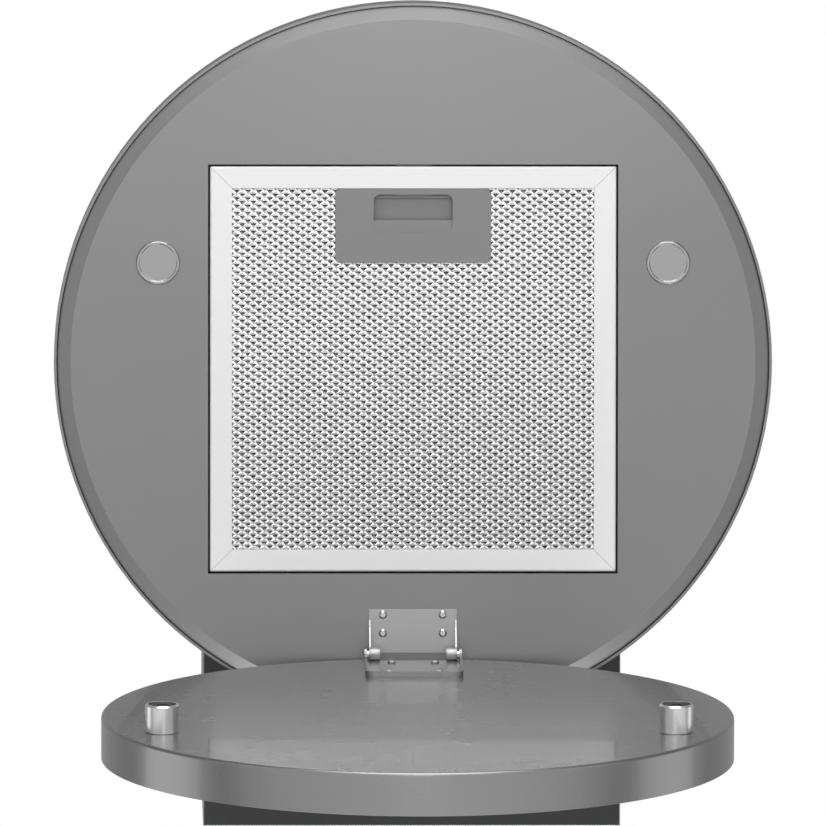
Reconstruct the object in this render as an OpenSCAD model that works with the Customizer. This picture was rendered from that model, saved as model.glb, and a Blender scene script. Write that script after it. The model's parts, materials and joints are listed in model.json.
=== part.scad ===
// Round ceiling-hung range hood with a perimeter-suction panel.
// Origin: centre of the ceiling bolt pattern. +Z up, +Y to the rear, millimetres.

/* [Overall] */
// Ceiling to the underside of the canopy
hood_drop = 850; // [780:10:1100]
// Canopy diameter
canopy_d = 600; // [580:10:620]
// Canopy height
canopy_h = 50; // [45:1:60]

/* [Column] */
// Width of the chimney column
column_w = 350; // [340:1:360]
// Distance from the canopy axis to the column's flat rear
column_rear = 393.5; // [385:0.5:420]
// Sheet thickness of the chimney covers
column_sheet = 0.8; // [0.6:0.1:1.0]
// How far the upper chimney reaches into the lower one
chimney_overlap = 60; // [40:5:100]
// Height of the lower chimney
chimney_lower_h = 400; // [360:10:440]

/* [Canopy] */
// Sheet thickness of the canopy
canopy_sheet = 1.2; // [1.0:0.1:1.5]
// Width of the bevelled band round the underside
band_w = 11.2; // [8:0.2:14]
// Rise of the bevelled band
band_rise = 4.5; // [3:0.5:6]
// Diameter of the magnet catch plates
catch_d = 36.6; // [34:0.2:40]
// Catch plates, sideways from the centre
catch_x = 213; // [205:1:220]
// Catch plates, towards the front from the centre
catch_y = 83; // [70:1:95]

/* [Filter] */
// Side of the square grease filter
filter_w = 339; // [335:1:340]
// Thickness of the filter
filter_t = 9; // [9:1:10]
// Width of the filter's frame bars
bar_w = 18.4; // [16:0.2:20]
// How far the filter's middle sits behind the canopy axis
filter_shift = 6; // [4:1:8]
// Width of the handle plate
handle_w = 130; // [120:1:140]
// Depth of the handle plate, front to rear
handle_l = 62; // [60:1:64]

/* [Panel] */
// Diameter of the perimeter-suction panel
panel_d = 520; // [500:5:520]
// Thickness of the panel
panel_h = 35.5; // [34:0.5:36]
// Gap between the canopy and the closed panel
panel_gap = 26; // [26:1:28]
// Angle between the closed and the open panel
panel_open = 95.5; // [90:0.5:96]
// Diameter of the magnet studs
stud_d = 28; // [26:1:30]

/* [Blower] */
// Outlet spigot diameter
duct_d = 150; // [145:1:150]
// Impeller diameter
fan_d = 164; // [150:2:168]
// Impeller width
fan_w = 110; // [90:2:112]
// Blades on the impeller
blades = 24; // [12:2:30]

/* [Controls] */
// Push-button diameter
button_d = 12; // [10:0.5:13]
// Spacing of the push-buttons
button_pitch = 24; // [20:1:26]

/* [Hidden] */
$fn = 96;

// Levels and radii
face_z = -hood_drop;
canopy_r = canopy_d / 2;
column_r = column_w / 2;
gap = 0.3;
hem_w = 2.2;
hem_z = 2.5;
hem_h = 4;
face_r = canopy_r - hem_w - 0.6;
flat_r = face_r - band_w;
top_t = 1.5;
base_t = 1.5;
base_top = canopy_h + base_t;
air_hole = 190;

// Filter opening, measured from the canopy axis
filter_gap = 1.7;
open_w = filter_w + 2 * filter_gap;
seat_t = 1.2;
seat_h = 14;
lug_x = 115;
lug_w = 20;
lug_z = 5.2;
lug_t = 1.8;
bolt_w = 30;

// Chimney
rear_t = column_sheet;
upper_r = column_r - column_sheet - 1.4;
upper_rear = column_rear - column_sheet - 3.2;
lower_top = canopy_h + chimney_lower_h;
upper_bottom = lower_top - chimney_overlap;
upper_top = hood_drop - 1;
flange_w = 14;

// Frame
ceiling_x = 125;
ceiling_y = 112;
ceiling_t = 3;
ceiling_bolt_x = 90;
ceiling_bolt_y = 80;
ceiling_bolt_r = 4.5;
angle_leg = 20;
angle_t = 2.5;
nest = angle_t + 0.2;
upper_angle_bottom = hood_drop - 430;
lower_angle_top = hood_drop - 380;
splice_z = hood_drop - 405;
foot_inset = 12;
foot_t = 3;
foot_x = ceiling_x - nest - foot_inset;
foot_y = ceiling_y - nest - foot_inset;
bolt_r = 3;
bolt_hole_r = 3.2;

// Fan
fan_z = 172;
fan_r = fan_d / 2;
scroll_r0 = fan_r + 10;
scroll_r1 = fan_r + 40;
scroll_half = 62;
scroll_t = 1.5;
scroll_out = 120;
cut_angle = 10;
scroll_turn = 280;
inlet_r = 62;
box_x = 100;
box_y = 122;
box_t = 1;
box_top = fan_z + scroll_r1 + 9;
shaft_r = 4;
motor_r = 42;
motor_x0 = 12;
motor_x1 = 76;

// Outlet
duct_r = duct_d / 2;
duct_y = 206;
elbow_x = 80;
elbow_z0 = 180;
elbow_z1 = 330;
elbow_y1 = duct_y + 83;
collar_h = 55;
flap_z = elbow_z1 + 22;
flap_r = duct_r - 2.5;
pin_r = 1.5;

// Controls
bezel_half = 52;
bezel_h = 26;
bezel_rim = 4;
button_z = canopy_h + 34;
bezel_z0 = button_z - bezel_h / 2;
bezel_z1 = button_z + bezel_h / 2;
button_r = button_d / 2;
button_out = column_r + 4.5;
plunger_r = 2.8;

// Panel, drawn closed and turned open about its pivot
pivot_y = 243;
pivot_z = -20;
panel_r = panel_d / 2;
panel_y = -4;
panel_sheet = 1;
panel_bottom = -panel_gap - panel_h;
stud_x = 210;
stud_y = -80.5;
stud_h = 23.2;
hinge_pin_r = 3;
knuckle_r = 5.5;
bracket_half = 36.7;
cheek_t = 1.5;
leaf_half = 40.6;
leaf_cheek_t = 2;
leaf_front = 169;
leaf_rear = 236;

// Helpers -------------------------------------------------------------------

module at_face() translate([0, 0, face_z]) children();

module opened() {
    at_face()
    translate([0, pivot_y, pivot_z])
    rotate([panel_open, 0, 0])
    translate([0, -pivot_y, -pivot_z])
    children();
}

// Block given by its lowest and highest corners
module block(low, high) translate(low) cube(high - low);

// Cylinder along +X from x0 to x1
module x_cylinder(r, x0, x1) translate([x0, 0, 0]) rotate([0, 90, 0]) cylinder(r = r, h = x1 - x0);

// Cylinder along +Y from y0 to y1
module y_cylinder(r, y0, y1) translate([0, y0, 0]) rotate([-90, 0, 0]) cylinder(r = r, h = y1 - y0);

module mirrored_x() {
    children();
    mirror([1, 0, 0]) children();
}

module at_corners(x, y) for (sx = [-1, 1], sy = [-1, 1]) translate([sx * x, sy * y, 0]) children();

// U-shaped wall: half ring at the front and two straight sides
module u_wall(r, t, rear, h) {
    rotate([0, 0, 180]) rotate_extrude(angle = 180) translate([r - t, 0]) square([t, h]);
    mirrored_x() block([r - t, 0, 0], [r, rear, h]);
}

// U-shaped plate that fills the same outline
module u_plate(r, rear, h) {
    rotate([0, 0, 180]) rotate_extrude(angle = 180) square([r, h]);
    block([-r, 0, 0], [r, rear, h]);
}

// Pan-head screw along +Z: head below z = 0 pointing down, shank above
module pan_screw(head_r, head_h, shank_r, shank_l) {
    difference() {
        rotate_extrude() polygon([
            [0, -head_h], [head_r * 0.6, -head_h], [head_r, -head_h * 0.45], [head_r, 0],
            [shank_r, 0], [shank_r, shank_l], [0, shank_l]
        ]);
        for (a = [0, 90]) rotate([0, 0, a])
            block([-head_r * 0.55, -head_r * 0.12, -head_h - 1],
                  [head_r * 0.55, head_r * 0.12, -head_h * 0.45]);
    }
}

// Canopy --------------------------------------------------------------------

module canopy_shell() color("silver") at_face() difference() {
    rotate_extrude($fn = 180) polygon([
        [canopy_r - hem_w, hem_z], [canopy_r, hem_z], [canopy_r, canopy_h], [0, canopy_h],
        [0, canopy_h - top_t], [canopy_r - canopy_sheet, canopy_h - top_t],
        [canopy_r - canopy_sheet, hem_z + hem_h], [canopy_r - hem_w, hem_z + hem_h]
    ]);
    block([-air_hole / 2, -air_hole / 2, 0], [air_hole / 2, air_hole / 2, canopy_h + 1]);
    at_corners(foot_x, foot_y) translate([0, 0, canopy_h - top_t - 1])
        cylinder(r = bolt_hole_r, h = top_t + 2, $fn = 24);
}

module canopy_face() color("silver") at_face() difference() {
    union() {
        rotate_extrude($fn = 180) polygon([
            [0, 0], [flat_r, 0], [face_r, band_rise], [face_r, seat_h], [face_r - canopy_sheet, seat_h],
            [face_r - canopy_sheet, band_rise + 0.7], [flat_r - 0.3, canopy_sheet], [0, canopy_sheet]
        ]);
        translate([0, filter_shift, 0]) difference() {
            block([-open_w / 2 - seat_t, -open_w / 2 - seat_t, canopy_sheet / 2],
                  [open_w / 2 + seat_t, open_w / 2 + seat_t, seat_h]);
            block([-open_w / 2, -open_w / 2, 0], [open_w / 2, open_w / 2, seat_h + 1]);
        }
    }
    translate([0, filter_shift, 0])
        block([-open_w / 2, -open_w / 2, -1], [open_w / 2, open_w / 2, seat_h + 1]);
    mirrored_x() block([lug_x - lug_w / 2 - 2, filter_shift + open_w / 2 - 1, canopy_sheet],
                       [lug_x + lug_w / 2 + 2, filter_shift + open_w / 2 + seat_t + 1, seat_h + 1]);
}

module catch_plates() color("gainsboro") at_face() mirrored_x()
    translate([catch_x, -catch_y, 0]) rotate_extrude() polygon([
        [0, -1.6], [catch_d / 2 - 3, -1.6], [catch_d / 2 - 2.4, -2.4], [catch_d / 2 - 0.8, -2.4],
        [catch_d / 2, -1.4], [catch_d / 2, 0], [0, 0]
    ]);

// Column --------------------------------------------------------------------

base_r = column_r - column_sheet - 0.1;
base_rear = column_rear - column_sheet - 0.1;

module column_base_plate() color("silver") at_face() translate([0, 0, canopy_h]) difference() {
    union() {
        u_plate(base_r, base_rear, base_t);
        u_wall(base_r, 1, base_rear, flange_w);
        block([-base_r, base_rear - 1, 0], [base_r, base_rear, flange_w]);
    }
    block([-air_hole / 2, -air_hole / 2, -1], [air_hole / 2, air_hole / 2, base_t + 1]);
    at_corners(foot_x, foot_y) translate([0, 0, -1]) cylinder(r = bolt_hole_r, h = base_t + 2, $fn = 24);
}

chimney_screw_r = 1.4;

// Screw places on the lower chimney's rear, +Z into the column
module at_chimney_screws() mirrored_x() for (z = [80, 220, 360])
    translate([column_r - 8, column_rear, z]) rotate([90, 0, 0]) children();

module chimney_lower_front() color("silver") at_face() translate([0, 0, canopy_h]) {
    difference() {
        u_wall(column_r, column_sheet, column_rear - rear_t - gap, chimney_lower_h);
        block([-bezel_half + bezel_rim, -column_r - 1, bezel_z0 + bezel_rim - canopy_h],
              [bezel_half - bezel_rim, -column_r / 2, bezel_z1 - bezel_rim - canopy_h]);
    }
    difference() {
        mirrored_x() block([column_r - flange_w, column_rear - rear_t - gap - column_sheet, flange_w + 2],
                           [column_r - column_sheet, column_rear - rear_t - gap, chimney_lower_h]);
        at_chimney_screws() cylinder(r = chimney_screw_r + 0.1, h = 5, $fn = 24);
    }
}

module chimney_lower_rear() color("silver") at_face() translate([0, 0, canopy_h]) difference() {
    block([-column_r, column_rear - rear_t, 0], [column_r, column_rear, chimney_lower_h]);
    at_chimney_screws() translate([0, 0, -1]) cylinder(r = chimney_screw_r + 0.3, h = 5, $fn = 24);
}

module chimney_upper_front() color("silver") at_face() translate([0, 0, upper_bottom]) {
    u_wall(upper_r, column_sheet, upper_rear - rear_t - gap, upper_top - upper_bottom);
    mirrored_x() block([upper_r - flange_w, upper_rear - rear_t - gap - column_sheet, 0],
                       [upper_r - column_sheet, upper_rear - rear_t - gap, upper_top - upper_bottom]);
}

module chimney_upper_rear() color("silver") at_face() translate([0, 0, upper_bottom])
    block([-upper_r, upper_rear - rear_t, 0], [upper_r, upper_rear, upper_top - upper_bottom]);

module chimney_screws() color("dimgray") at_face() translate([0, 0, canopy_h])
    at_chimney_screws() translate([0, 0, -0.02]) pan_screw(3, 1.6, chimney_screw_r, 4);

// Frame ---------------------------------------------------------------------

// Angle profile whose outer corner is at the origin, legs towards -X and -Y
module angle_bar(h) {
    block([-angle_leg, -angle_t, 0], [0, 0, h]);
    block([-angle_t, -angle_leg, 0], [0, 0, h]);
}

module at_uprights(inset) for (sx = [0, 1], sy = [0, 1]) mirror([sx, 0, 0]) mirror([0, sy, 0])
    translate([ceiling_x - inset, ceiling_y - inset, 0]) children();

module splice_hole(r, x0, x1) translate([0, -foot_inset, splice_z]) x_cylinder(r, x0, x1, $fn = 24);

module ceiling_plate() color("lightsteelblue") difference() {
    block([-ceiling_x, -ceiling_y, -ceiling_t], [ceiling_x, ceiling_y, 0]);
    at_corners(ceiling_bolt_x, ceiling_bolt_y) translate([0, 0, -ceiling_t - 1])
        cylinder(r = ceiling_bolt_r, h = ceiling_t + 2);
}

module frame_uprights_upper() color("lightsteelblue") at_face() at_uprights(0) difference() {
    translate([0, 0, upper_angle_bottom]) angle_bar(hood_drop - ceiling_t - upper_angle_bottom);
    splice_hole(bolt_hole_r, -angle_leg, 1);
}

module frame_uprights_lower() color("lightsteelblue") at_face() at_uprights(nest) difference() {
    union() {
        translate([0, 0, base_top]) angle_bar(lower_angle_top - base_top);
        block([-angle_leg, -angle_leg, base_top], [-angle_t / 2, -angle_t / 2, base_top + foot_t]);
    }
    translate([0, nest, 0]) splice_hole(bolt_hole_r, -angle_leg, 1);
    translate([-foot_inset, -foot_inset, base_top - 1]) cylinder(r = bolt_hole_r, h = foot_t + 2, $fn = 24);
}

brace_z = 620;
brace_h = 25;

module frame_braces() color("lightsteelblue") at_face() for (s = [-1, 1]) {
    translate([0, s * (ceiling_y - angle_t - 1.1), brace_z])
        block([-ceiling_x + angle_t + 4, -1, 0], [ceiling_x - angle_t - 4, 1, brace_h]);
}

module frame_bolts() color("dimgray") at_face() at_uprights(0) {
    translate([0, -foot_inset, splice_z]) {
        x_cylinder(bolt_r, -nest - angle_t - 7, 0.5, $fn = 24);
        x_cylinder(5, 0.1, 3, $fn = 6);
        x_cylinder(5, -nest - angle_t - 5, -nest - angle_t - 0.1, $fn = 6);
    }
    translate([-nest - foot_inset, -nest - foot_inset, 0]) {
        translate([0, 0, canopy_h - top_t - 3]) cylinder(r = bolt_r, h = 13, $fn = 24);
        translate([0, 0, canopy_h - top_t - 2.6]) cylinder(r = 5, h = 2.5, $fn = 6);
        translate([0, 0, base_top + foot_t + 0.1]) cylinder(r = 5, h = 3, $fn = 6);
    }
}

// Blower --------------------------------------------------------------------

module at_fan() at_face() translate([0, 0, fan_z]) children();

// Drawn in the YZ plane and extruded along X from x0 to x1
module yz_extrude(x0, x1) translate([x0, 0, 0]) rotate([90, 0, 90]) linear_extrude(x1 - x0) children();

// Spiral that widens from the cut-off, round the front, to the outlet at the top
function spiral(off, steps = 36) = [for (i = [0:steps]) let (
    turn = i / steps,
    a = cut_angle - turn * scroll_turn,
    r = scroll_r0 + turn * (scroll_r1 - scroll_r0) + off
) [r * cos(a), r * sin(a)]];

module scroll_outline(off, reach) polygon(concat(spiral(off), [
    [reach, scroll_r1 + off], [reach, scroll_r0 * sin(cut_angle) - off]
]));

module scroll_half() difference() {
    yz_extrude(0, scroll_half) scroll_outline(scroll_t, scroll_out);
    yz_extrude(-1, scroll_half - scroll_t) scroll_outline(0, scroll_out + 1);
    x_cylinder(inlet_r + 6, scroll_half - 5, scroll_half + 1);
}

module scroll_left() color("slategray") at_fan() mirror([1, 0, 0]) scroll_half();
module scroll_right() color("slategray") at_fan() scroll_half();

// Rounded mouth seated in each side hole of the scroll
module inlet_rings() color("darkslategray") at_fan() mirrored_x() rotate([0, 90, 0]) rotate_extrude()
    polygon([
        [inlet_r, scroll_half - 5], [inlet_r + 1.5, scroll_half - 5], [inlet_r + 1.5, scroll_half - 1],
        [inlet_r + 6, scroll_half + 0.2], [inlet_r + 13, scroll_half + 0.2],
        [inlet_r + 13, scroll_half + 2], [inlet_r + 5, scroll_half + 2], [inlet_r, scroll_half - 1.5]
    ]);

bracket_x = motor_x1 + 0.1;

module motor_bracket() color("lightsteelblue") at_fan() difference() {
    union() {
        x_cylinder(24, bracket_x, bracket_x + 2);
        for (a = [30, 150, 270]) rotate([a, 0, 0]) block([bracket_x, -7, 10], [bracket_x + 2, 7, 80]);
    }
    x_cylinder(8, bracket_x - 1, bracket_x + 3);
    for (a = [30, 150, 270]) rotate([a, 0, 0]) translate([0, 0, 72])
        x_cylinder(2.5, bracket_x - 1, bracket_x + 3, $fn = 24);
}

module motor_mounts() color("black") at_fan() for (a = [30, 150, 270]) rotate([a, 0, 0])
    translate([0, 0, 72]) difference() {
        x_cylinder(6, scroll_half + 2.1, bracket_x - 0.1, $fn = 32);
        x_cylinder(2, scroll_half + 2, bracket_x, $fn = 24);
    }

bearing_r = 11;
bearing_w = 7;

module motor_body() color("dimgray") at_fan() difference() {
    union() {
        x_cylinder(motor_r, motor_x0 + 6, motor_x1 - 6);
        x_cylinder(motor_r - 8, motor_x0, motor_x1);
    }
    x_cylinder(shaft_r + 2, motor_x0 - 1, motor_x1 + 1);
    x_cylinder(bearing_r, motor_x0 - 1, motor_x0 + bearing_w);
    x_cylinder(bearing_r, motor_x1 - bearing_w, motor_x1 + 1);
}

module motor_bearings() color("gainsboro") at_fan()
    for (x = [motor_x0, motor_x1 - bearing_w]) difference() {
        x_cylinder(bearing_r - 0.02, x, x + bearing_w - 0.1);
        x_cylinder(shaft_r + 0.03, x - 1, x + bearing_w + 1);
    }

module motor_shaft() color("gainsboro") at_fan() x_cylinder(shaft_r, -14, motor_x1 + 6);

module impeller() color("slategray") at_fan() difference() {
    union() {
        x_cylinder(fan_r, -1, 1);
        x_cylinder(12, -12, 8);
        mirrored_x() difference() {
            x_cylinder(fan_r, fan_w / 2 - 3, fan_w / 2);
            x_cylinder(fan_r - 17, fan_w / 2 - 4, fan_w / 2 + 1);
        }
        for (i = [0:blades - 1]) rotate([i * 360 / blades, 0, 0]) translate([0, fan_r - 9, 0])
            rotate([35, 0, 0]) block([-fan_w / 2 + 1, -7.5, -0.6], [fan_w / 2 - 1, 7.5, 0.6]);
    }
    x_cylinder(shaft_r + 0.02, -13, 9);
}

// Box round the scroll: open below, with a window to the elbow
module fan_box() color("lightgray") at_face() difference() {
    block([-box_x, -box_y, base_top], [box_x, box_y, box_top]);
    block([-box_x + box_t, -box_y + box_t, base_top - 1], [box_x - box_t, box_y - box_t, box_top - box_t]);
    block([-scroll_half - 1, box_y - 5, fan_z + 12], [scroll_half + 1, box_y + 1, fan_z + scroll_r1 + 4]);
}

module outlet_elbow() color("lightgray") at_face() difference() {
    block([-elbow_x, box_y + 0.2, elbow_z0], [elbow_x, elbow_y1, elbow_z1]);
    block([-elbow_x + box_t, box_y + 0.2 + box_t, elbow_z0 + box_t],
          [elbow_x - box_t, elbow_y1 - box_t, elbow_z1 - box_t]);
    block([-scroll_half - 1, box_y - 1, fan_z + 12], [scroll_half + 1, box_y + 5, fan_z + scroll_r1 + 4]);
    translate([0, duct_y, elbow_z1 - 5]) cylinder(r = duct_r - 1.5, h = 10);
}

module at_duct() at_face() translate([0, duct_y, elbow_z1]) children();

// Spigot with a foot flange and a ledge that the closed flaps rest on
module outlet_collar() color("gray") at_duct() difference() {
    rotate_extrude() polygon([
        [duct_r - 5, 17], [duct_r - 5, 19], [duct_r - 1.5, 19], [duct_r - 1.5, collar_h],
        [duct_r, collar_h], [duct_r, 1.8], [duct_r + 4, 1.8], [duct_r + 4, 0.1],
        [duct_r - 1.5, 0.1], [duct_r - 1.5, 17]
    ]);
    translate([0, 0, flap_z - elbow_z1]) x_cylinder(pin_r, -duct_r - 1, duct_r + 1, $fn = 24);
}

module flap_pin() color("gainsboro") at_duct() translate([0, 0, flap_z - elbow_z1])
    x_cylinder(pin_r, -duct_r + 0.2, duct_r - 0.2, $fn = 24);

// Half disc for the rear (+Y) side, with barrels on the pin from x0 to x1
module flap(barrels) at_duct() translate([0, 0, flap_z - elbow_z1]) difference() {
    union() {
        difference() {
            translate([0, 0, -1.2]) cylinder(r = flap_r, h = 1.2);
            block([-flap_r - 1, -flap_r - 1, -2], [flap_r + 1, 3.6, 1]);
        }
        for (b = barrels) {
            x_cylinder(2.6, b[0], b[1], $fn = 32);
            block([b[0], 0.5, -1.2], [b[1], 4, 0]);
        }
    }
    x_cylinder(pin_r + 0.05, -duct_r, duct_r, $fn = 32);
}

module flap_rear() color("gray") flap([[-60, -40], [-9, 9], [40, 60]]);
module flap_front() color("gray") translate([0, 2 * duct_y, 0]) mirror([0, 1, 0])
    flap([[-38, -11], [11, 38]]);

module capacitor() color("whitesmoke") at_face() translate([60, 50, box_top + 0.1])
    cylinder(r = 18, h = 62);

module junction_box() color("whitesmoke") at_face() difference() {
    block([-60, -80, box_top + 0.1], [40, -10, box_top + 42]);
    block([-58, -78, box_top + 2], [38, -12, box_top + 40]);
    translate([-10, -45, box_top + 35]) cylinder(r = 7.9, h = 10);
}

// Cable inlet for the mains lead
gland_bore_r = 4.5;
gland_top = box_top + 64;
module cable_gland() color("black") at_face() translate([-10, -45, 0]) difference() {
    union() {
        translate([0, 0, box_top + 34]) cylinder(r = 7.8, h = 9);
        translate([0, 0, box_top + 42.1]) cylinder(r = 12, h = 6, $fn = 6);
        translate([0, 0, box_top + 48]) cylinder(r = 10, h = gland_top - box_top - 48);
    }
    translate([0, 0, box_top + 30]) cylinder(r = gland_bore_r, h = 40);
}

// Controls ------------------------------------------------------------------

control_box_front = column_r - 13;
control_box_l = 30;
plunger_hole_l = 17;

module at_button(i) translate([(i - 1.5) * button_pitch, 0, button_z]) children();

module control_box() color("dimgray") at_face() difference() {
    block([-bezel_half, -control_box_front, bezel_z0 + 1],
          [bezel_half, -control_box_front + control_box_l, bezel_z1 - 1]);
    for (i = [0:3]) at_button(i)
        y_cylinder(plunger_r + 0.4, -control_box_front - 1, -control_box_front + plunger_hole_l, $fn = 24);
}

// Curved strip on the front of the lower chimney, with a hole for each button
module button_bezel() color("dimgray") at_face() difference() {
    intersection() {
        translate([0, 0, bezel_z0]) difference() {
            cylinder(r = column_r + 1.8, h = bezel_h, $fn = 180);
            translate([0, 0, -1]) cylinder(r = column_r + 0.1, h = bezel_h + 2, $fn = 180);
        }
        block([-bezel_half, -column_r - 5, bezel_z0 - 1], [bezel_half, 0, bezel_z1 + 1]);
    }
    for (i = [0:3]) at_button(i) y_cylinder(button_r + 0.35, -column_r - 10, 0, $fn = 48);
}

// Push-button: cap, retaining flange behind the bezel and switch plunger
module button(i) color("silver") at_face() at_button(i) translate([0, -button_out, 0]) rotate([-90, 0, 0])
    rotate_extrude($fn = 48) polygon([
        [0, 0], [button_r - 0.8, 0], [button_r, 0.8], [button_r, 10.6], [button_r + 1.2, 10.6],
        [button_r + 1.2, 12.2], [plunger_r, 12.2], [plunger_r, 18], [0, 18]
    ]);

module button_off() button(0);
module button_low() button(1);
module button_medium() button(2);
module button_high() button(3);

// Filter --------------------------------------------------------------------

module at_filter() at_face() translate([0, filter_shift, 0]) children();

groove = 9.5;
groove_z0 = 1.3;
groove_z1 = filter_t - 1.3;
mitre_gap = 0.15;

// One bar along the front side, cut to a mitre at both ends
module filter_bar() difference() {
    intersection() {
        yz_extrude(-filter_w / 2, filter_w / 2) translate([-filter_w / 2, 0]) polygon([
            [1.2, 0], [bar_w, 0], [bar_w, groove_z0], [groove, groove_z0], [groove, groove_z1],
            [bar_w, groove_z1], [bar_w, filter_t], [0, filter_t], [0, 1.2]
        ]);
        linear_extrude(filter_t) polygon([
            [-filter_w / 2 + mitre_gap, -filter_w / 2], [filter_w / 2 - mitre_gap, -filter_w / 2],
            [filter_w / 2 - bar_w - mitre_gap, -filter_w / 2 + bar_w],
            [-filter_w / 2 + bar_w + mitre_gap, -filter_w / 2 + bar_w]
        ]);
    }
    children();
}

module filter_frame() color("whitesmoke") at_filter() {
    filter_bar() block([-bolt_w / 2 - 0.6, -filter_w / 2 - 1, nose_z - 0.3],
                       [bolt_w / 2 + 0.6, -filter_w / 2 + bar_w + 1, arm_z1 + 0.4]);
    for (a = [90, 270]) rotate([0, 0, a]) filter_bar();
    rotate([0, 0, 180]) filter_bar() mirrored_x()
        block([lug_x - lug_w / 2 - 0.1, -filter_w / 2 - 1, lug_z - 0.1],
              [lug_x + lug_w / 2 + 0.1, -filter_w / 2 + 6, lug_z + lug_t + 0.1]);
}

// Rectangle with rounded corners
function rounded_box(low, high, r) = [
    for (c = [[high.x - r, high.y - r, 0], [low.x + r, high.y - r, 90],
              [low.x + r, low.y + r, 180], [high.x - r, low.y + r, 270]], a = [0:15:90])
        [c[0] + r * cos(c[2] + a), c[1] + r * sin(c[2] + a)]
];

module rounded_block(low, high, r) translate([0, 0, low.z])
    linear_extrude(high.z - low.z) polygon(rounded_box(low, high, r));

// Handle plate and pocket, measured from the filter's middle
handle_y0 = -filter_w / 2 + bar_w + 0.1;
handle_y1 = handle_y0 + handle_l;
pocket_x = 33;
pocket_y0 = handle_y0 + 5;
pocket_y1 = pocket_y0 + 31.5;
pocket_wall = 0.8;
lip_l = 10;
plate_t = 0.8;
pocket_z = 7.2;
plate_corner = 5;
pocket_corner = 5.4;
slider_w = 3;
slot_w = 3.6;
spring_room = 15;
spring_z = 3.7;
arm_z1 = 6.2;
nose_z = 3.9;
mesh_half = filter_w / 2 - groove - 0.3;

module mesh_layer(z0, z1) at_filter() difference() {
    block([-mesh_half, -mesh_half, z0], [mesh_half, mesh_half, z1]);
    block([-handle_w / 2 + 6, -mesh_half - 1, z0 - 1], [handle_w / 2 - 6, handle_y1 - 4, z1 + 1]);
}

module filter_mesh_front() color("gainsboro") mesh_layer(groove_z0 + 0.1, groove_z0 + 1.1);
module filter_core() color("gainsboro") mesh_layer(groove_z0 + 1.2, groove_z1 - 1.2);
module filter_mesh_back() color("gainsboro") mesh_layer(groove_z1 - 1.1, groove_z1 - 0.1);

module filter_handle() color("darkgray") at_filter() difference() {
    union() {
        rounded_block([-handle_w / 2, handle_y0, 0], [handle_w / 2, handle_y1, plate_t], plate_corner);
        rounded_block([-pocket_x - 4.5, handle_y0, plate_t / 2],
                      [pocket_x + 4.5, handle_y1 - 9, pocket_z + pocket_wall], 2);
    }
    rounded_block([-pocket_x, pocket_y0, -1], [pocket_x, pocket_y1, plate_t + 0.1], pocket_corner);
    block([-pocket_x - slot_w, pocket_y0, plate_t], [pocket_x + slot_w, pocket_y1 + spring_room, pocket_z]);
    block([-bolt_w / 2 - 0.6, handle_y0 - 1, nose_z - 0.5], [bolt_w / 2 + 0.6, pocket_y0 + 1, pocket_z]);
}

// Spring-loaded slider: finger lip, two side arms, front bar and bolt nose
module filter_latch() color("darkgray") at_filter() {
    block([-pocket_x - slider_w, pocket_y1 - lip_l, plate_t + 0.15],
          [pocket_x + slider_w, pocket_y1 + 0.4, plate_t + 2.2]);
    mirrored_x() block([pocket_x + 0.6, pocket_y0 + 0.6, plate_t + 0.15],
                       [pocket_x + slider_w, pocket_y1 + 0.4, arm_z1]);
    block([-pocket_x - slider_w, pocket_y0 + 0.6, nose_z], [pocket_x + slider_w, pocket_y0 + 3, arm_z1]);
    block([-bolt_w / 2, -filter_w / 2 - filter_gap + 0.3, nose_z], [bolt_w / 2, pocket_y0 + 2, arm_z1]);
}

// Return springs between the slider's arms and the rear wall of the pocket housing
module latch_spring() color("gainsboro") at_filter() mirrored_x()
    translate([pocket_x + slot_w / 2, 0, spring_z]) difference() {
        y_cylinder(1.6, pocket_y1 + 0.5, pocket_y1 + spring_room - 0.1, $fn = 24);
        y_cylinder(1.1, pocket_y1, pocket_y1 + spring_room, $fn = 24);
    }

module filter_lugs() color("gainsboro") at_filter() mirrored_x()
    block([lug_x - lug_w / 2, filter_w / 2 - 5.9, lug_z],
          [lug_x + lug_w / 2, filter_w / 2 + 8, lug_z + lug_t]);

// Hinge ---------------------------------------------------------------------

bracket_y0 = 207;
bracket_y1 = 243.5;
bracket_screw_x = 25;
bracket_screw_y = [211.5, 227];

module at_pivot() translate([0, pivot_y, pivot_z]) children();

module hinge_bracket() color("gainsboro") at_face() difference() {
    union() {
        block([-bracket_half, bracket_y0, -cheek_t], [bracket_half, bracket_y1, -0.05]);
        mirrored_x() {
            yz_extrude(bracket_half - cheek_t, bracket_half) polygon([
                [216, -0.05], [bracket_y1 + 1.5, -0.05], [pivot_y + knuckle_r, pivot_z],
                [pivot_y, pivot_z], [pivot_y - knuckle_r, pivot_z + 1], [222, -5], [216, -3]
            ]);
            at_pivot() x_cylinder(knuckle_r, bracket_half - 9, bracket_half);
        }
    }
    for (x = [-1, 1], y = bracket_screw_y) translate([x * bracket_screw_x, y, -3])
        cylinder(r = 2.1, h = 4, $fn = 24);
    at_pivot() mirrored_x() x_cylinder(hinge_pin_r, bracket_half - 10, bracket_half + 1);
}

module hinge_bracket_screws() color("silver") at_face() for (x = [-1, 1], y = bracket_screw_y)
    translate([x * bracket_screw_x, y, -cheek_t - 0.05]) pan_screw(3.4, 2, 2, cheek_t);

module hinge_pins() color("gainsboro") at_face() at_pivot() mirrored_x()
    x_cylinder(hinge_pin_r, bracket_half - 8.8, leaf_half - 0.1);

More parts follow.
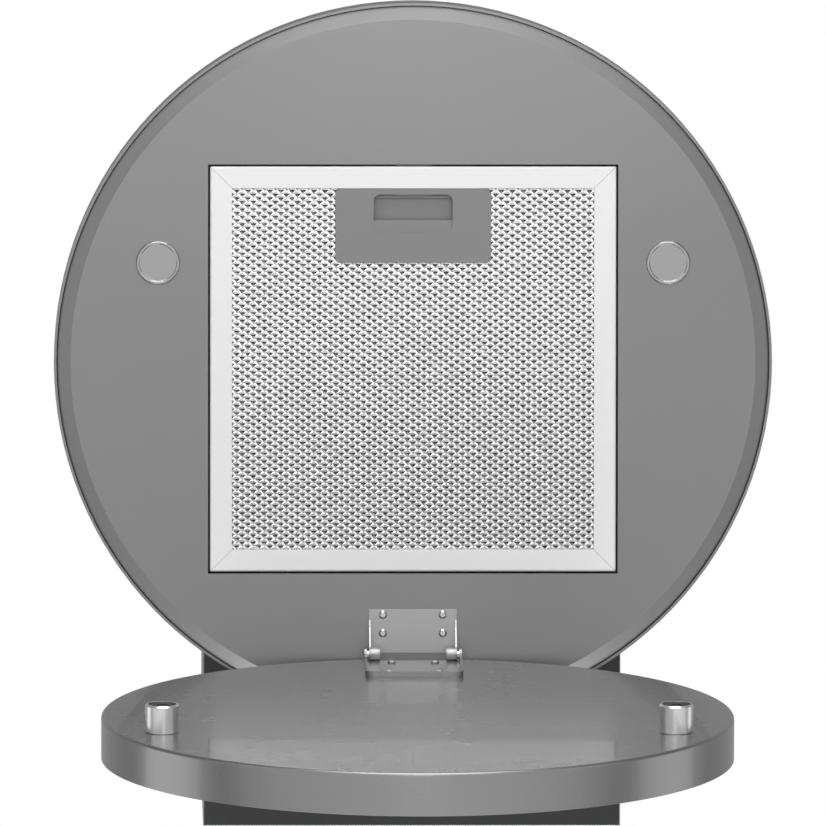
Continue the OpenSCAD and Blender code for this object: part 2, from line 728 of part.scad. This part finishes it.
// Hinge leaf: tray with a raised front edge and two cheeks that reach the pivot
module leaf_outline() {
    r = 6;
    corner = leaf_half - r;
    polygon(concat(
        [[-leaf_half, leaf_rear]],
        [for (a = [180:15:270]) [-corner + r * cos(a), leaf_front + r + r * sin(a)]],
        [for (a = [270:15:360]) [corner + r * cos(a), leaf_front + r + r * sin(a)]],
        [[leaf_half, leaf_rear]]
    ));
}

module leaf_floor_outline() {
    r = 4.4;
    inner = leaf_half - leaf_cheek_t;
    corner = inner - r;
    front = leaf_front + leaf_cheek_t;
    polygon(concat(
        [[-inner, leaf_rear + 1]],
        [for (a = [180:15:270]) [-corner + r * cos(a), front + r + r * sin(a)]],
        [for (a = [270:15:360]) [corner + r * cos(a), front + r + r * sin(a)]],
        [[inner, leaf_rear + 1]]
    ));
}

module hinge_leaf() color("gainsboro") opened() difference() {
    union() {
        difference() {
            translate([0, 0, -panel_gap + 0.05]) linear_extrude(4.5) leaf_outline();
            translate([0, 0, -panel_gap + 1.6]) linear_extrude(5) leaf_floor_outline();
        }
        mirrored_x() yz_extrude(leaf_half - leaf_cheek_t, leaf_half) polygon([
            [186, -panel_gap + 1], [pivot_y, -panel_gap + 0.5], [pivot_y + 4.6, pivot_z - 2.9],
            [pivot_y + 5, pivot_z], [pivot_y - 5.4, pivot_z + 0.6], [226, -panel_gap + 7],
            [186, -panel_gap + 4]
        ]);
        mirrored_x() at_pivot() x_cylinder(knuckle_r, leaf_half - leaf_cheek_t, leaf_half);
    }
    at_pivot() mirrored_x() x_cylinder(hinge_pin_r + 0.05, leaf_half - 5, leaf_half + 1);
    for (x = [-1, 1], row = leaf_screws) translate([x * row[0], row[1], -panel_gap - 1])
        cylinder(r = 2.1, h = 4, $fn = 24);
}

// Screw rows of the leaf: half spacing and distance from the canopy axis
leaf_screws = [[18, 227], [21, 184]];

module hinge_leaf_screws() color("silver") opened() for (x = [-1, 1], row = leaf_screws)
    translate([x * row[0], row[1], -panel_gap + 1.65]) mirror([0, 0, 1]) pan_screw(3.4, 2, 2, 1.5);

// Panel ---------------------------------------------------------------------

module at_panel() opened() translate([0, panel_y, 0]) children();

edge_r = 2.5;

// Inner face and rim in one piece, with a rounded edge
module panel_tray() color("silver") at_panel() rotate_extrude($fn = 180) polygon(concat(
    [[0, -panel_gap]],
    [for (a = [90:-15:0]) [panel_r - edge_r + edge_r * cos(a), -panel_gap - edge_r + edge_r * sin(a)]],
    [[panel_r, panel_bottom], [panel_r - panel_sheet, panel_bottom],
     [panel_r - panel_sheet, -panel_gap - edge_r], [panel_r - edge_r, -panel_gap - panel_sheet],
     [0, -panel_gap - panel_sheet]]
));

// Room-side disc, set just inside the rim
module panel_cover() color("silver") at_panel() rotate_extrude($fn = 180) polygon([
    [0, panel_bottom + 0.6], [panel_r - panel_sheet - 0.5, panel_bottom + 0.6],
    [panel_r - panel_sheet - 0.5, panel_bottom + 9], [panel_r - panel_sheet - 1.5, panel_bottom + 9],
    [panel_r - panel_sheet - 1.5, panel_bottom + 1.6], [0, panel_bottom + 1.6]
]);

// Pressed cross between the two discs
module panel_stiffener() color("gray") at_panel() difference() {
    for (a = [0, 90]) rotate([0, 0, a])
        block([-panel_r + 14, -22, panel_bottom + 1.8], [panel_r - 14, 22, -panel_gap - panel_sheet - 0.1]);
    for (a = [0, 90]) rotate([0, 0, a])
        block([-panel_r + 12, -20.8, panel_bottom + 3], [panel_r - 12, 20.8, -panel_gap]);
}

module at_studs() opened() mirrored_x() translate([stud_x, stud_y, -panel_gap]) children();

module magnet_studs() color("silver") at_studs() rotate_extrude() polygon([
    [0, 0.05], [stud_d / 2 - 0.4, 0.05], [stud_d / 2, 0.5], [stud_d / 2, stud_h - 1.2],
    [stud_d / 2 - 1.2, stud_h], [stud_d / 2 - 2.4, stud_h], [stud_d / 2 - 2.4, stud_h - 3.5],
    [0, stud_h - 3.5]
]);

module magnets() color("black") at_studs() difference() {
    translate([0, 0, stud_h - 3.4]) cylinder(r = stud_d / 2 - 2.6, h = 2.6);
    translate([0, 0, stud_h - 4]) cylinder(r = 4.2, h = 4, $fn = 32);
}

module stud_screws() color("gainsboro") at_studs() translate([0, 0, stud_h - 3.35])
    cylinder(r = 3.6, h = 2, $fn = 32);

// Drawing -------------------------------------------------------------------

canopy_shell();
canopy_face();
catch_plates();
hinge_bracket();
hinge_bracket_screws();
hinge_pins();
column_base_plate();
chimney_lower_front();
chimney_lower_rear();
chimney_screws();
chimney_upper_front();
chimney_upper_rear();
ceiling_plate();
frame_uprights_upper();
frame_uprights_lower();
frame_braces();
frame_bolts();
fan_box();
scroll_left();
scroll_right();
inlet_rings();
motor_bracket();
motor_mounts();
motor_body();
motor_bearings();
motor_shaft();
impeller();
outlet_elbow();
outlet_collar();
flap_pin();
flap_front();
flap_rear();
capacitor();
junction_box();
cable_gland();
control_box();
button_bezel();
button_off();
button_low();
button_medium();
button_high();
filter_frame();
filter_mesh_front();
filter_core();
filter_mesh_back();
filter_handle();
filter_lugs();
filter_latch();
latch_spring();
panel_tray();
panel_cover();
panel_stiffener();
hinge_leaf();
hinge_leaf_screws();
magnet_studs();
magnets();
stud_screws();
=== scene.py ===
"""Looks of the ceiling-hung island range hood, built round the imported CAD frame."""
import json
import math

import bmesh
import bpy
import numpy as np
from mathutils import Matrix, Vector


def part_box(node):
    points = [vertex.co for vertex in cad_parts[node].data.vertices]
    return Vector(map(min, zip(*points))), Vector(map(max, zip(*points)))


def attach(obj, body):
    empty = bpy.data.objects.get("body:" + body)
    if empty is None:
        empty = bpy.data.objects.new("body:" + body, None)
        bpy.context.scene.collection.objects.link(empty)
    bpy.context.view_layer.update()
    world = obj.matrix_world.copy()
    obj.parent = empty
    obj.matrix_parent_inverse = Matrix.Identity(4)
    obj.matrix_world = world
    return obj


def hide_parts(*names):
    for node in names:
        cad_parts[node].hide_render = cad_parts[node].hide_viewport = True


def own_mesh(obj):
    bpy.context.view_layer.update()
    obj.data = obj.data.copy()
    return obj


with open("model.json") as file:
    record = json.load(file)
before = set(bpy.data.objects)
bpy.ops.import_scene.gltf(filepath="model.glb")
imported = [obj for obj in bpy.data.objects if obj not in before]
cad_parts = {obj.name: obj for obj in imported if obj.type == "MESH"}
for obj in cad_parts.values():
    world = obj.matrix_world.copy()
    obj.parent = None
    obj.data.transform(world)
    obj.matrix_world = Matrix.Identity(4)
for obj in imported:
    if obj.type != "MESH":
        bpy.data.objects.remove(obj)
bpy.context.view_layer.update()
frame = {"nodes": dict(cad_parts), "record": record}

NODES = frame["nodes"]
SCENE = bpy.context.scene
MM = 0.001

# ---------------------------------------------------------------- places from the frame

FACE_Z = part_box("canopy_face")[0].z
MESH_LOW, MESH_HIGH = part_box("filter_mesh_front")
HANDLE_LOW, HANDLE_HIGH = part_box("filter_handle")
FLOOR_Z = -2.4  # the ceiling is at 0, so this is the room's height
HOOD_MIDDLE = (0, 0, -0.8)
COLUMN_MIDDLE = (0, 0, -0.6)

# ---------------------------------------------------------------- camera

# A long lens looks up at the canopy, a little from the front
CAMERA_DISTANCE = 15.0
SEEN_WIDTH = 0.6899
LOOK_TILT = math.radians(4.0)
LOOK_YAW = math.radians(0.9)
AIM = Vector((0.0, 0.0427, FACE_Z))
SENSOR = 36.0


def add_camera():
    data = bpy.data.cameras.new("camera")
    data.type = "PERSP"
    data.sensor_width = SENSOR
    data.lens = SENSOR * CAMERA_DISTANCE / SEEN_WIDTH
    data.clip_start = 0.5
    data.clip_end = 100.0
    camera = bpy.data.objects.new("camera", data)
    look = Vector((math.sin(LOOK_YAW), math.sin(LOOK_TILT), math.cos(LOOK_TILT))).normalized()
    right = look.cross(Vector((0, -math.cos(LOOK_TILT), math.sin(LOOK_TILT)))).normalized()
    up = right.cross(look)
    turn = Matrix((right, up, -look)).transposed().to_4x4()
    camera.matrix_world = Matrix.Translation(AIM - look * CAMERA_DISTANCE) @ turn
    SCENE.collection.objects.link(camera)
    SCENE.camera = camera


# ---------------------------------------------------------------- node material helpers

class Shader:
    """A principled material that is built up one effect at a time."""

    def __init__(self, name, color, roughness, metallic=0.0):
        self.material = bpy.data.materials.new(name)
        self.material.use_nodes = True
        self.nodes = self.material.node_tree.nodes
        self.links = self.material.node_tree.links
        self.bsdf = self.nodes["Principled BSDF"]
        self.bsdf.inputs["Base Color"].default_value = (*color, 1.0)
        self.bsdf.inputs["Roughness"].default_value = roughness
        self.bsdf.inputs["Metallic"].default_value = metallic
        self.color = color
        self.roughness = roughness
        self.height = None

    def set(self, socket, value):
        self.bsdf.inputs[socket].default_value = value
        return self

    def noise(self, scale, detail=4.0, stretch=(1, 1, 1)):
        place = self.nodes.new("ShaderNodeTexCoord")
        mapping = self.nodes.new("ShaderNodeMapping")
        mapping.inputs["Scale"].default_value = stretch
        texture = self.nodes.new("ShaderNodeTexNoise")
        texture.inputs["Scale"].default_value = scale
        texture.inputs["Detail"].default_value = detail
        self.links.new(place.outputs["Object"], mapping.inputs["Vector"])
        self.links.new(mapping.outputs["Vector"], texture.inputs["Vector"])
        return texture.outputs["Fac"]

    def remap(self, source, low, high):
        """Spreads the middle of a noise over low to high."""
        node = self.nodes.new("ShaderNodeMapRange")
        node.inputs["From Min"].default_value = 0.3
        node.inputs["From Max"].default_value = 0.7
        node.inputs["To Min"].default_value = low
        node.inputs["To Max"].default_value = high
        self.links.new(source, node.inputs["Value"])
        return node.outputs["Result"]

    def vary_roughness(self, amount, scale, stretch=(1, 1, 1)):
        grain = self.noise(scale, stretch=stretch)
        value = self.remap(grain, self.roughness - amount, self.roughness + amount)
        self.links.new(value, self.bsdf.inputs["Roughness"])
        return self

    def vary_color(self, amount, scale, stretch=(1, 1, 1), detail=3.0):
        ramp = self.nodes.new("ShaderNodeMix")
        ramp.data_type = "RGBA"
        ramp.inputs["A"].default_value = (*[c * (1 - amount) for c in self.color], 1)
        ramp.inputs["B"].default_value = (*[min(1.0, c * (1 + amount)) for c in self.color], 1)
        factor = self.remap(self.noise(scale, detail, stretch), 0.0, 1.0)
        self.links.new(factor, ramp.inputs["Factor"])
        self.links.new(ramp.outputs["Result"], self.bsdf.inputs["Base Color"])
        return self

    def bump(self, distance, scale, stretch=(1, 1, 1), detail=4.0, strength=1.0):
        node = self.nodes.new("ShaderNodeBump")
        node.inputs["Strength"].default_value = strength
        node.inputs["Distance"].default_value = distance
        self.links.new(self.noise(scale, detail, stretch), node.inputs["Height"])
        if self.height is not None:
            self.links.new(self.height, node.inputs["Normal"])
        self.height = node.outputs["Normal"]
        self.links.new(self.height, self.bsdf.inputs["Normal"])
        return self


def satin_steel(name, color, roughness, coat=0.0):
    """Satin stainless: a fine grain, and a slow cloudy change of roughness and colour."""
    shader = Shader(name, color, roughness, metallic=1.0)
    shader.vary_roughness(0.03, 9.0)
    shader.vary_color(0.02, 5.0)
    shader.bump(0.00001, 500.0, detail=2.0, strength=0.1)
    if coat:
        shader.set("Coat Weight", coat).set("Coat Roughness", 0.05)
    return shader.material


def brushed_steel(name, color, roughness, stretch, anisotropic=0.5):
    """Stainless with its grain drawn out along the axis that stretch leaves long."""
    shader = Shader(name, color, roughness, metallic=1.0)
    shader.vary_roughness(0.06, 60.0, stretch)
    shader.vary_color(0.04, 40.0, stretch)
    shader.bump(0.00003, 400.0, stretch, detail=3.0, strength=0.35)
    shader.set("Anisotropic", anisotropic)
    return shader.material


def polished_steel(name, color, roughness=0.09):
    shader = Shader(name, color, roughness, metallic=1.0)
    shader.vary_roughness(0.03, 40.0)
    shader.bump(0.00002, 300.0, detail=3.0, strength=0.2)
    return shader.material


def zinc(name, color):
    """Zinc-plated or painted sheet with a cloudy spangle."""
    shader = Shader(name, color, 0.42, metallic=0.85)
    shader.vary_roughness(0.10, 30.0)
    shader.vary_color(0.14, 55.0, detail=6.0)
    shader.bump(0.00004, 500.0, strength=0.3)
    return shader.material


def plastic(name, color, roughness=0.5, grain=700.0):
    shader = Shader(name, color, roughness)
    shader.vary_roughness(0.06, 25.0)
    shader.vary_color(0.05, 12.0)
    shader.bump(0.00006, grain, detail=3.0, strength=0.35)
    return shader.material


def make_materials():
    made = {
        "canopy_steel": satin_steel("satin_canopy", (0.275, 0.275, 0.276), 0.38),
        "column_steel": brushed_steel("brushed_column", (0.30, 0.30, 0.303), 0.34, (14, 14, 0.4)),
        "panel_steel": satin_steel("satin_panel", (0.315, 0.315, 0.316), 0.27, coat=0.35),
        "polished_steel": polished_steel("polished_steel", (0.50, 0.50, 0.505)),
        "screw_steel": polished_steel("screw_steel", (0.50, 0.50, 0.505), 0.22),
        "zinc_steel": zinc("zinc_steel", (0.55, 0.57, 0.59)),
        "grey_plastic": plastic("grey_plastic", (0.16, 0.17, 0.18)),
        "black_plastic": plastic("black_plastic", (0.018, 0.018, 0.019), 0.42),
        "white_plastic": plastic("white_plastic", (0.72, 0.72, 0.70), 0.45),
        "black_rubber": plastic("black_rubber", (0.02, 0.02, 0.02), 0.75, 400.0),
        "motor_steel": zinc("motor_steel", (0.20, 0.21, 0.22)),
        "magnet_black": plastic("magnet_black", (0.012, 0.012, 0.013), 0.5, 900.0),
        "button_steel": brushed_steel("button_steel", (0.62, 0.62, 0.63), 0.25, (1, 1, 12), 0.3),
        # base_steel is near-black: on the column's base plate it is painted shade under the panel's rim,
        # and the filter lugs take it too
        "base_steel": satin_steel("dark_base_painted_shade", (0.06, 0.06, 0.061), 0.5),
        "stud_steel": satin_steel("turned_stud", (0.80, 0.80, 0.805), 0.26),
        "leaf_steel": satin_steel("rolled_leaf", (0.33, 0.33, 0.334), 0.24),
        "bracket_steel": satin_steel("rolled_bracket", (0.46, 0.46, 0.464), 0.42),
    }
    frame_alu = Shader("anodised_frame", (0.86, 0.86, 0.865), 0.40)
    made["filter_alu"] = frame_alu.vary_roughness(0.04, 20.0).bump(0.00002, 900.0, strength=0.25).material
    mesh_alu = Shader("mesh_alu", (0.82, 0.82, 0.825), 0.25, metallic=0.75)
    made["mesh_alu"] = mesh_alu.vary_roughness(0.06, 120.0).bump(0.00003, 900.0, strength=0.3).material
    # A darker copy of the mesh aluminium for the core and back sheets: painted shade for the deeper
    # layers, with a cloudy tone
    mesh_alu_painted_shade = Shader("mesh_alu_painted_shade", (0.50, 0.50, 0.505), 0.30, metallic=0.85)
    made["mesh_alu_painted_shade"] = mesh_alu_painted_shade.vary_roughness(0.06, 120.0).vary_color(0.25, 160.0).material
    handle = Shader("handle_grey", (0.235, 0.235, 0.24), 0.48, metallic=0.1)
    made["handle_grey"] = handle.vary_roughness(0.04, 30.0).bump(0.00003, 1200.0, strength=0.3).material
    return made


# Nodes whose finish differs from that of their slot. The column's base plate gets a near-black steel that
# is painted shade, the shadow under the panel's rim on the column.
OWN_FINISH_OR_PAINTED_SHADE = {
    "column_base_plate": "base_steel",
    "magnet_studs": "stud_steel",
    "hinge_bracket": "bracket_steel",
    "hinge_leaf": "leaf_steel",
    "filter_lugs": "base_steel",
}


def dress_frame(materials):
    """Gives each CAD node the material of its slot, or a finish of its own, or for the column's base
    plate a near-black steel as painted shade.
    """
    slots = {s["node"]: s["material_slot"] for s in frame["record"]["subparts"]}
    for name, node in NODES.items():
        node.data.materials.clear()
        node.data.materials.append(materials[OWN_FINISH_OR_PAINTED_SHADE.get(name, slots[name])])


# ---------------------------------------------------------------- light and stage

def area_light(name, place, target, size, power, size_y=None):
    data = bpy.data.lights.new(name, "AREA")
    data.shape = "RECTANGLE"
    data.size = size
    data.size_y = size_y or size
    data.energy = power
    light = bpy.data.objects.new(name, data)
    light.location = place
    light.rotation_mode = "QUATERNION"
    light.rotation_quaternion = (Vector(target) - Vector(place)).to_track_quat("-Z", "Y")
    light.visible_camera = False
    SCENE.collection.objects.link(light)


def add_world():
    """White to the camera, and to the object a grey that brightens towards the top."""
    world = bpy.data.worlds.new("studio")
    SCENE.world = world
    world.use_nodes = True
    nodes, links = world.node_tree.nodes, world.node_tree.links
    nodes.clear()
    path = nodes.new("ShaderNodeLightPath")
    seen = nodes.new("ShaderNodeBackground")
    seen.inputs["Color"].default_value = (1, 1, 1, 1)
    lit = nodes.new("ShaderNodeBackground")
    lit.inputs["Strength"].default_value = 0.29
    place = nodes.new("ShaderNodeTexCoord")
    split = nodes.new("ShaderNodeSeparateXYZ")
    ramp = nodes.new("ShaderNodeMapRange")
    ramp.inputs["From Min"].default_value = 0.2
    ramp.inputs["From Max"].default_value = 0.95
    ramp.inputs["To Min"].default_value = 1.0
    ramp.inputs["To Max"].default_value = 1.3
    links.new(place.outputs["Generated"], split.inputs["Vector"])
    links.new(split.outputs["Z"], ramp.inputs["Value"])
    links.new(ramp.outputs["Result"], lit.inputs["Color"])
    mix = nodes.new("ShaderNodeMixShader")
    out = nodes.new("ShaderNodeOutputWorld")
    links.new(path.outputs["Is Camera Ray"], mix.inputs["Fac"])
    links.new(lit.outputs["Background"], mix.inputs[1])
    links.new(seen.outputs["Background"], mix.inputs[2])
    links.new(mix.outputs["Shader"], out.inputs["Surface"])


FLOOR_REACH = 7.0


def add_floor():
    """A pale floor that is clear from below, so that the look up passes it."""
    mesh = bpy.data.meshes.new("floor")
    form = bmesh.new()
    bmesh.ops.create_grid(form, x_segments=1, y_segments=1, size=FLOOR_REACH)
    form.to_mesh(mesh)
    form.free()
    floor = bpy.data.objects.new("floor", mesh)
    floor.location.z = FLOOR_Z
    SCENE.collection.objects.link(floor)
    shader = Shader("floor", (0.90, 0.90, 0.90), 0.7)
    clear = shader.nodes.new("ShaderNodeBsdfTransparent")
    side = shader.nodes.new("ShaderNodeNewGeometry")
    mix = shader.nodes.new("ShaderNodeMixShader")
    out = shader.nodes["Material Output"]
    shader.links.new(side.outputs["Backfacing"], mix.inputs["Fac"])
    shader.links.new(shader.bsdf.outputs["BSDF"], mix.inputs[1])
    shader.links.new(clear.outputs["BSDF"], mix.inputs[2])
    shader.links.new(mix.outputs["Shader"], out.inputs["Surface"])
    mesh.materials.append(shader.material)


def add_lights():
    """Low lights for the underside, soft ones for the outside, and one that washes the floor."""
    low = FLOOR_Z + 0.1
    face = (0, 0, FACE_Z)
    area_light("low_strip", (0.01, -0.5, low), (0.01, -0.5, FACE_Z), 0.2, 0.8, size_y=1.9)
    area_light("low_key", (0, -0.75, low), (0, -0.3, FACE_Z), 1.3, 5.3, size_y=0.7)
    area_light("low_front", (0, -2.7, low + 0.5), face, 2.2, 30, size_y=1.0)
    area_light("low_left", (-1.9, -0.2, low + 0.3), face, 1.2, 0.8)
    area_light("low_right", (1.9, -0.2, low + 0.3), face, 1.2, 0.8)
    area_light("low_rear", (0, 1.9, low + 0.3), face, 1.2, 24)
    area_light("front_soft", (0, -3.5, -0.6), HOOD_MIDDLE, 2.5, 8)
    area_light("left_soft", (-3.4, 1.2, -0.4), COLUMN_MIDDLE, 2.0, 10)
    area_light("right_soft", (3.4, 1.2, -0.4), COLUMN_MIDDLE, 2.0, 8)
    area_light("rear_soft", (0.8, 3.6, -0.2), HOOD_MIDDLE, 2.5, 16)
    area_light("top_soft", (0, 1.8, 2.4), HOOD_MIDDLE, 2.5, 5)
    area_light("floor_wash", (0, 0, -1.5), (0, 0, FLOOR_Z), 6.0, 26)


# ---------------------------------------------------------------- detail on the CAD nodes

def bevel(node, width):
    """Rounds a node's sharp edges, once its faces are joined."""
    weld = NODES[node].modifiers.new("join_faces", "WELD")
    weld.merge_threshold = 0.002 * MM
    modifier = NODES[node].modifiers.new("edges", "BEVEL")
    modifier.width = width * MM
    modifier.segments = 2
    modifier.limit_method = "ANGLE"
    modifier.angle_limit = math.radians(30)


# Widths in millimetres
ROUNDED = {
    "filter_frame": 0.5, "filter_handle": 0.5, "filter_latch": 0.5, "catch_plates": 0.3,
    "hinge_bracket": 0.15, "filter_lugs": 0.3, "button_bezel": 0.4,
    "chimney_lower_rear": 0.2, "chimney_upper_rear": 0.2, "junction_box": 0.8, "control_box": 0.8,
}


def round_edges():
    for node, width in ROUNDED.items():
        bevel(node, width)


# ---------------------------------------------------------------- expanded metal

CELL_X = 9.2 * MM
CELL_Y = 3.1 * MM
STRAND = 0.32 * MM
HANDLE_CLEAR = 5.0 * MM

# Hole in one cell, wide towards the front and pointed towards the rear: across, along, lift.
# Across and along are in millimetres, and lift is in heights of the sheet.
HOLE = [
    (2.75, -0.75, 0.8), (0.0, -1.15, 1.0), (-2.75, -0.75, 0.8),
    (-1.15, 0.9, -0.6), (0.0, 1.9, -1.0), (1.15, 0.9, -0.6),
]

# Uneven forming, as shares of the sheet's height and of the hole's width
CORNER_SPREAD = 0.06
LIFT_SPREAD = 0.08
WIDTH_SPREAD = 0.05


class Sheet:
    """One sheet of slit and stretched metal: a net of cells, each with a tilted rim round its hole."""

    def __init__(self, node, height, phase, turned, seed):
        self.low, self.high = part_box(node)
        self.centre = (self.low + self.high) / 2
        self.height = height
        self.phase = phase
        self.turned = turned
        self.rng = np.random.default_rng(seed)
        self.form = bmesh.new()
        self.corners = {}

    def place(self, across, along, lift):
        if self.turned:
            across, along = along, across
        return (self.centre.x + across, self.centre.y + along, self.centre.z + lift)

    def middle(self, i, j):
        return i * CELL_X / 2 + self.phase, j * CELL_Y

    def is_kept(self, i, j):
        """Keeps cells inside the frame's groove and clear of the handle's housing."""
        x, y, _ = self.place(*self.middle(i, j), 0)
        reach_x = (MESH_HIGH.x - MESH_LOW.x) / 2 - CELL_X / 2
        reach_y = (MESH_HIGH.y - MESH_LOW.y) / 2 - CELL_Y
        if abs(x - self.centre.x) > reach_x or abs(y - self.centre.y) > reach_y:
            return False
        inside_x = HANDLE_LOW.x + HANDLE_CLEAR < x < HANDLE_HIGH.x - HANDLE_CLEAR
        return not (inside_x and y < HANDLE_HIGH.y - HANDLE_CLEAR)

    def corner(self, i, j):
        """A knot shared by neighbouring cells."""
        if (i, j) not in self.corners:
            lift = self.rng.normal(0, CORNER_SPREAD) * self.height
            self.corners[i, j] = self.form.verts.new(self.place(*self.middle(i, j), lift))
        return self.corners[i, j]

    def add_cell(self, i, j):
        across, along = self.middle(i, j)
        width = 1 + self.rng.normal(0, WIDTH_SPREAD)
        hole = [self.form.verts.new(self.place(across + dx * MM * width, along + dy * MM,
                                               (lift + self.rng.normal(0, LIFT_SPREAD)) * self.height))
                for dx, dy, lift in HOLE]
        right, rear = self.corner(i + 1, j), self.corner(i, j + 1)
        left, front = self.corner(i - 1, j), self.corner(i, j - 1)
        self.form.faces.new((right, front, hole[1], hole[0]))
        self.form.faces.new((front, left, hole[2], hole[1]))
        self.form.faces.new((left, rear, hole[4], hole[3], hole[2]))
        self.form.faces.new((rear, right, hole[0], hole[5], hole[4]))

    def grow(self):
        reach = self.high - self.low
        if self.turned:
            reach = reach.yxz
        columns = int(reach.x / CELL_X) + 2
        rows = int(reach.y / CELL_Y / 2) + 2
        for j in range(-rows, rows + 1):
            for i in range(-columns, columns + 1):
                if (i + j) % 2 == 0 and self.is_kept(i, j):
                    self.add_cell(i, j)
        bmesh.ops.recalc_face_normals(self.form, faces=self.form.faces)

    def to_mesh(self, name):
        mesh = bpy.data.meshes.new(name)
        self.form.to_mesh(mesh)
        self.form.free()
        return mesh


def expanded_metal(name, node, material, height, phase, turned, seed):
    sheet = Sheet(node, height, phase, turned, seed)
    sheet.grow()
    mesh = sheet.to_mesh(name)
    mesh.materials.append(MATERIALS[material])
    piece = bpy.data.objects.new(name, mesh)
    SCENE.collection.objects.link(piece)
    solid = piece.modifiers.new("gauge", "SOLIDIFY")
    solid.thickness = STRAND
    solid.offset = 0
    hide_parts(node)
    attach(piece, "filter")


def add_filter_meshes():
    """Three sheets, each shifted against the one before it, and the last one turned; the core and back
    sheets take the darker mesh aluminium, painted shade for the deeper layers.
    """
    expanded_metal("expanded_mesh_front", "filter_mesh_front", "mesh_alu", 0.42 * MM, 0.0, False, 3)
    expanded_metal("expanded_mesh_core", "filter_core", "mesh_alu_painted_shade", 1.0 * MM, 2.0 * MM, False, 5)
    expanded_metal("expanded_mesh_back", "filter_mesh_back", "mesh_alu_painted_shade", 0.42 * MM, 3.1 * MM, True, 7)


# ---------------------------------------------------------------- latch springs

COIL_WIRE = 0.25 * MM
COIL_TURNS = 9
POINTS_PER_TURN = 12


def coil_mesh(low, high):
    """Two wire coils that fill the box of the plain sleeves."""
    radius = (high.z - low.z) / 2
    curve = bpy.data.curves.new("latch_coils", "CURVE")
    curve.dimensions = "3D"
    curve.bevel_depth = COIL_WIRE
    curve.bevel_resolution = 2
    steps = POINTS_PER_TURN * COIL_TURNS
    for centre_x in (low.x + radius, high.x - radius):
        spline = curve.splines.new("POLY")
        spline.points.add(steps)
        for k, point in enumerate(spline.points):
            angle = 2 * math.pi * k / POINTS_PER_TURN
            along = low.y + COIL_WIRE + (high.y - low.y - 2 * COIL_WIRE) * k / steps
            point.co = (centre_x + (radius - COIL_WIRE) * math.cos(angle), along,
                        (low.z + high.z) / 2 + (radius - COIL_WIRE) * math.sin(angle), 1)
    form = bpy.data.objects.new("coil_curve", curve)
    mesh = bpy.data.meshes.new_from_object(form)
    bpy.data.objects.remove(form)
    return mesh


def add_latch_springs():
    """A wire coil in the place of each plain sleeve."""
    low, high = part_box("latch_spring")
    mesh = coil_mesh(low, high)
    mesh.materials.clear()
    mesh.materials.append(MATERIALS["screw_steel"])
    piece = bpy.data.objects.new("latch_coils", mesh)
    SCENE.collection.objects.link(piece)
    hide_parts("latch_spring")
    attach(piece, "filter")
    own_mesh(piece)


SCENE.view_settings.view_transform = "Standard"
add_camera()
add_world()
add_floor()
add_lights()
MATERIALS = make_materials()
dress_frame(MATERIALS)
round_edges()
add_filter_meshes()
add_latch_springs()
